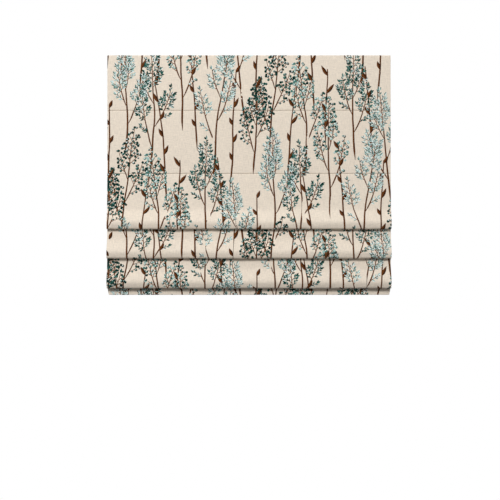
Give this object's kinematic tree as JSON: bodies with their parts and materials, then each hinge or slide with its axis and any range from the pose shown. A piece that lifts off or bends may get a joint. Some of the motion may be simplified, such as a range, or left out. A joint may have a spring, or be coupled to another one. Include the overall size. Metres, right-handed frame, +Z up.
{
  "type": "roman blind",
  "caption": "Soft-fold roman blind in lined printed fabric, part raised, on a spring-lift headrail with hidden rods, cords and a bottom bar.",
  "frame": {"origin": "centre of the four bracket screw holes, on the plane where the brackets meet the reveal", "axes": "+Z up, the printed face looks along -Y into the room, +X to the right as seen from the room"},
  "size_m": [0.96, 0.0863, 0.813],
  "materials": {
    "printed_fabric": "woven, printed",
    "lining_fabric": "plain weave",
    "tape_fabric": "hook and loop",
    "cord_fabric": "braided",
    "rail_aluminium": "powder coated white",
    "bar_aluminium": "mill",
    "bracket_steel": "zinc coated",
    "shaft_steel": "bright drawn",
    "spring_steel": "tempered",
    "white_plastic": "moulded",
    "grey_plastic": "moulded",
    "dark_plastic": "moulded",
    "rod_fibreglass": "pultruded"
  },
  "bodies": {
    "headrail": {"headrail": "rail_aluminium", "end_cap_left": "white_plastic", "end_cap_right": "white_plastic", "hook_tape": "tape_fabric", "loop_tape": "tape_fabric", "bracket_left": "bracket_steel", "bracket_right": "bracket_steel", "cradle_left": "grey_plastic", "cradle_middle": "grey_plastic", "cradle_right": "grey_plastic", "motor_case": "dark_plastic", "motor_cover": "dark_plastic", "spiral_spring": "spring_steel", "face_fabric": "printed_fabric", "lining": "lining_fabric", "lift_cord_left": "cord_fabric", "lift_cord_middle": "cord_fabric", "lift_cord_right": "cord_fabric"},
    "lever_left": {"bracket_lever_left": "white_plastic"},
    "lever_right": {"bracket_lever_right": "white_plastic"},
    "shaft": {"drive_shaft": "shaft_steel", "spool_left": "white_plastic", "cord_winding_left": "cord_fabric", "spool_middle": "white_plastic", "cord_winding_middle": "cord_fabric", "spool_right": "white_plastic", "cord_winding_right": "cord_fabric", "spring_arbor": "grey_plastic", "shaft_collars": "shaft_steel"},
    "rod_body_1": {"rod_1": "rod_fibreglass", "rod_pocket_1": "lining_fabric", "rod_caps_1": "white_plastic", "rod_guides_1": "white_plastic"},
    "rod_body_2": {"rod_2": "rod_fibreglass", "rod_pocket_2": "lining_fabric", "rod_caps_2": "white_plastic", "rod_guides_2": "white_plastic"},
    "rod_body_3": {"rod_3": "rod_fibreglass", "rod_pocket_3": "lining_fabric", "rod_caps_3": "white_plastic", "rod_guides_3": "white_plastic"},
    "rod_body_4": {"rod_4": "rod_fibreglass", "rod_pocket_4": "lining_fabric", "rod_caps_4": "white_plastic", "rod_guides_4": "white_plastic"},
    "rod_body_5": {"rod_5": "rod_fibreglass", "rod_pocket_5": "lining_fabric", "rod_caps_5": "white_plastic", "rod_guides_5": "white_plastic"},
    "bar": {"bottom_bar": "bar_aluminium", "bar_pocket": "lining_fabric", "bar_caps": "white_plastic", "cord_anchors": "white_plastic"}
  },
  "joints": [
    {"name": "lift", "type": "slide", "parent": "headrail", "child": "bar", "axis": [0, 0, 1], "range_m": [0, 0.565], "deforming": ["face_fabric", "lining", "lift_cord_left", "lift_cord_middle", "lift_cord_right"]},
    {"name": "rod_1_rise", "type": "slide", "parent": "headrail", "child": "rod_body_1", "axis": [0, 0, 1], "range_m": [0, 0.1319]},
    {"name": "rod_2_rise", "type": "slide", "parent": "headrail", "child": "rod_body_2", "axis": [0, 0, 1], "range_m": [0, 0.2817]},
    {"name": "rod_3_rise", "type": "slide", "parent": "headrail", "child": "rod_body_3", "axis": [0, 0, 1], "range_m": [0, 0.36115]},
    {"name": "rod_4_rise", "type": "slide", "parent": "headrail", "child": "rod_body_4", "axis": [0, 0, 1], "range_m": [0, 0.42555]},
    {"name": "rod_5_rise", "type": "slide", "parent": "headrail", "child": "rod_body_5", "axis": [0, 0, 1], "range_m": [0, 0.50185]},
    {"name": "shaft_turn", "type": "hinge", "parent": "headrail", "child": "shaft", "pos_m": [0, 0, -0.0292], "axis": [1, 0, 0], "range_deg": [-3701, 0], "deforming": ["spiral_spring"]},
    {"name": "lever_left_turn", "type": "hinge", "parent": "headrail", "child": "lever_left", "pos_m": [-0.376, 0.002, -0.005], "axis": [0, 0, 1], "range_deg": [-90, 0]},
    {"name": "lever_right_turn", "type": "hinge", "parent": "headrail", "child": "lever_right", "pos_m": [0.376, 0.002, -0.005], "axis": [0, 0, 1], "range_deg": [0, 90]}
  ],
  "couplings": [
    {"joint": "rod_1_rise", "follows": "lift", "ratio": 0.23168},
    {"joint": "rod_2_rise", "follows": "lift", "ratio": 0.49681},
    {"joint": "rod_3_rise", "follows": "lift", "ratio": 0.63743},
    {"joint": "rod_4_rise", "follows": "lift", "ratio": 0.75142},
    {"joint": "rod_5_rise", "follows": "lift", "ratio": 0.88646},
    {"joint": "shaft_turn", "follows": "lift", "rad_per_m": -114.29}
  ]
}
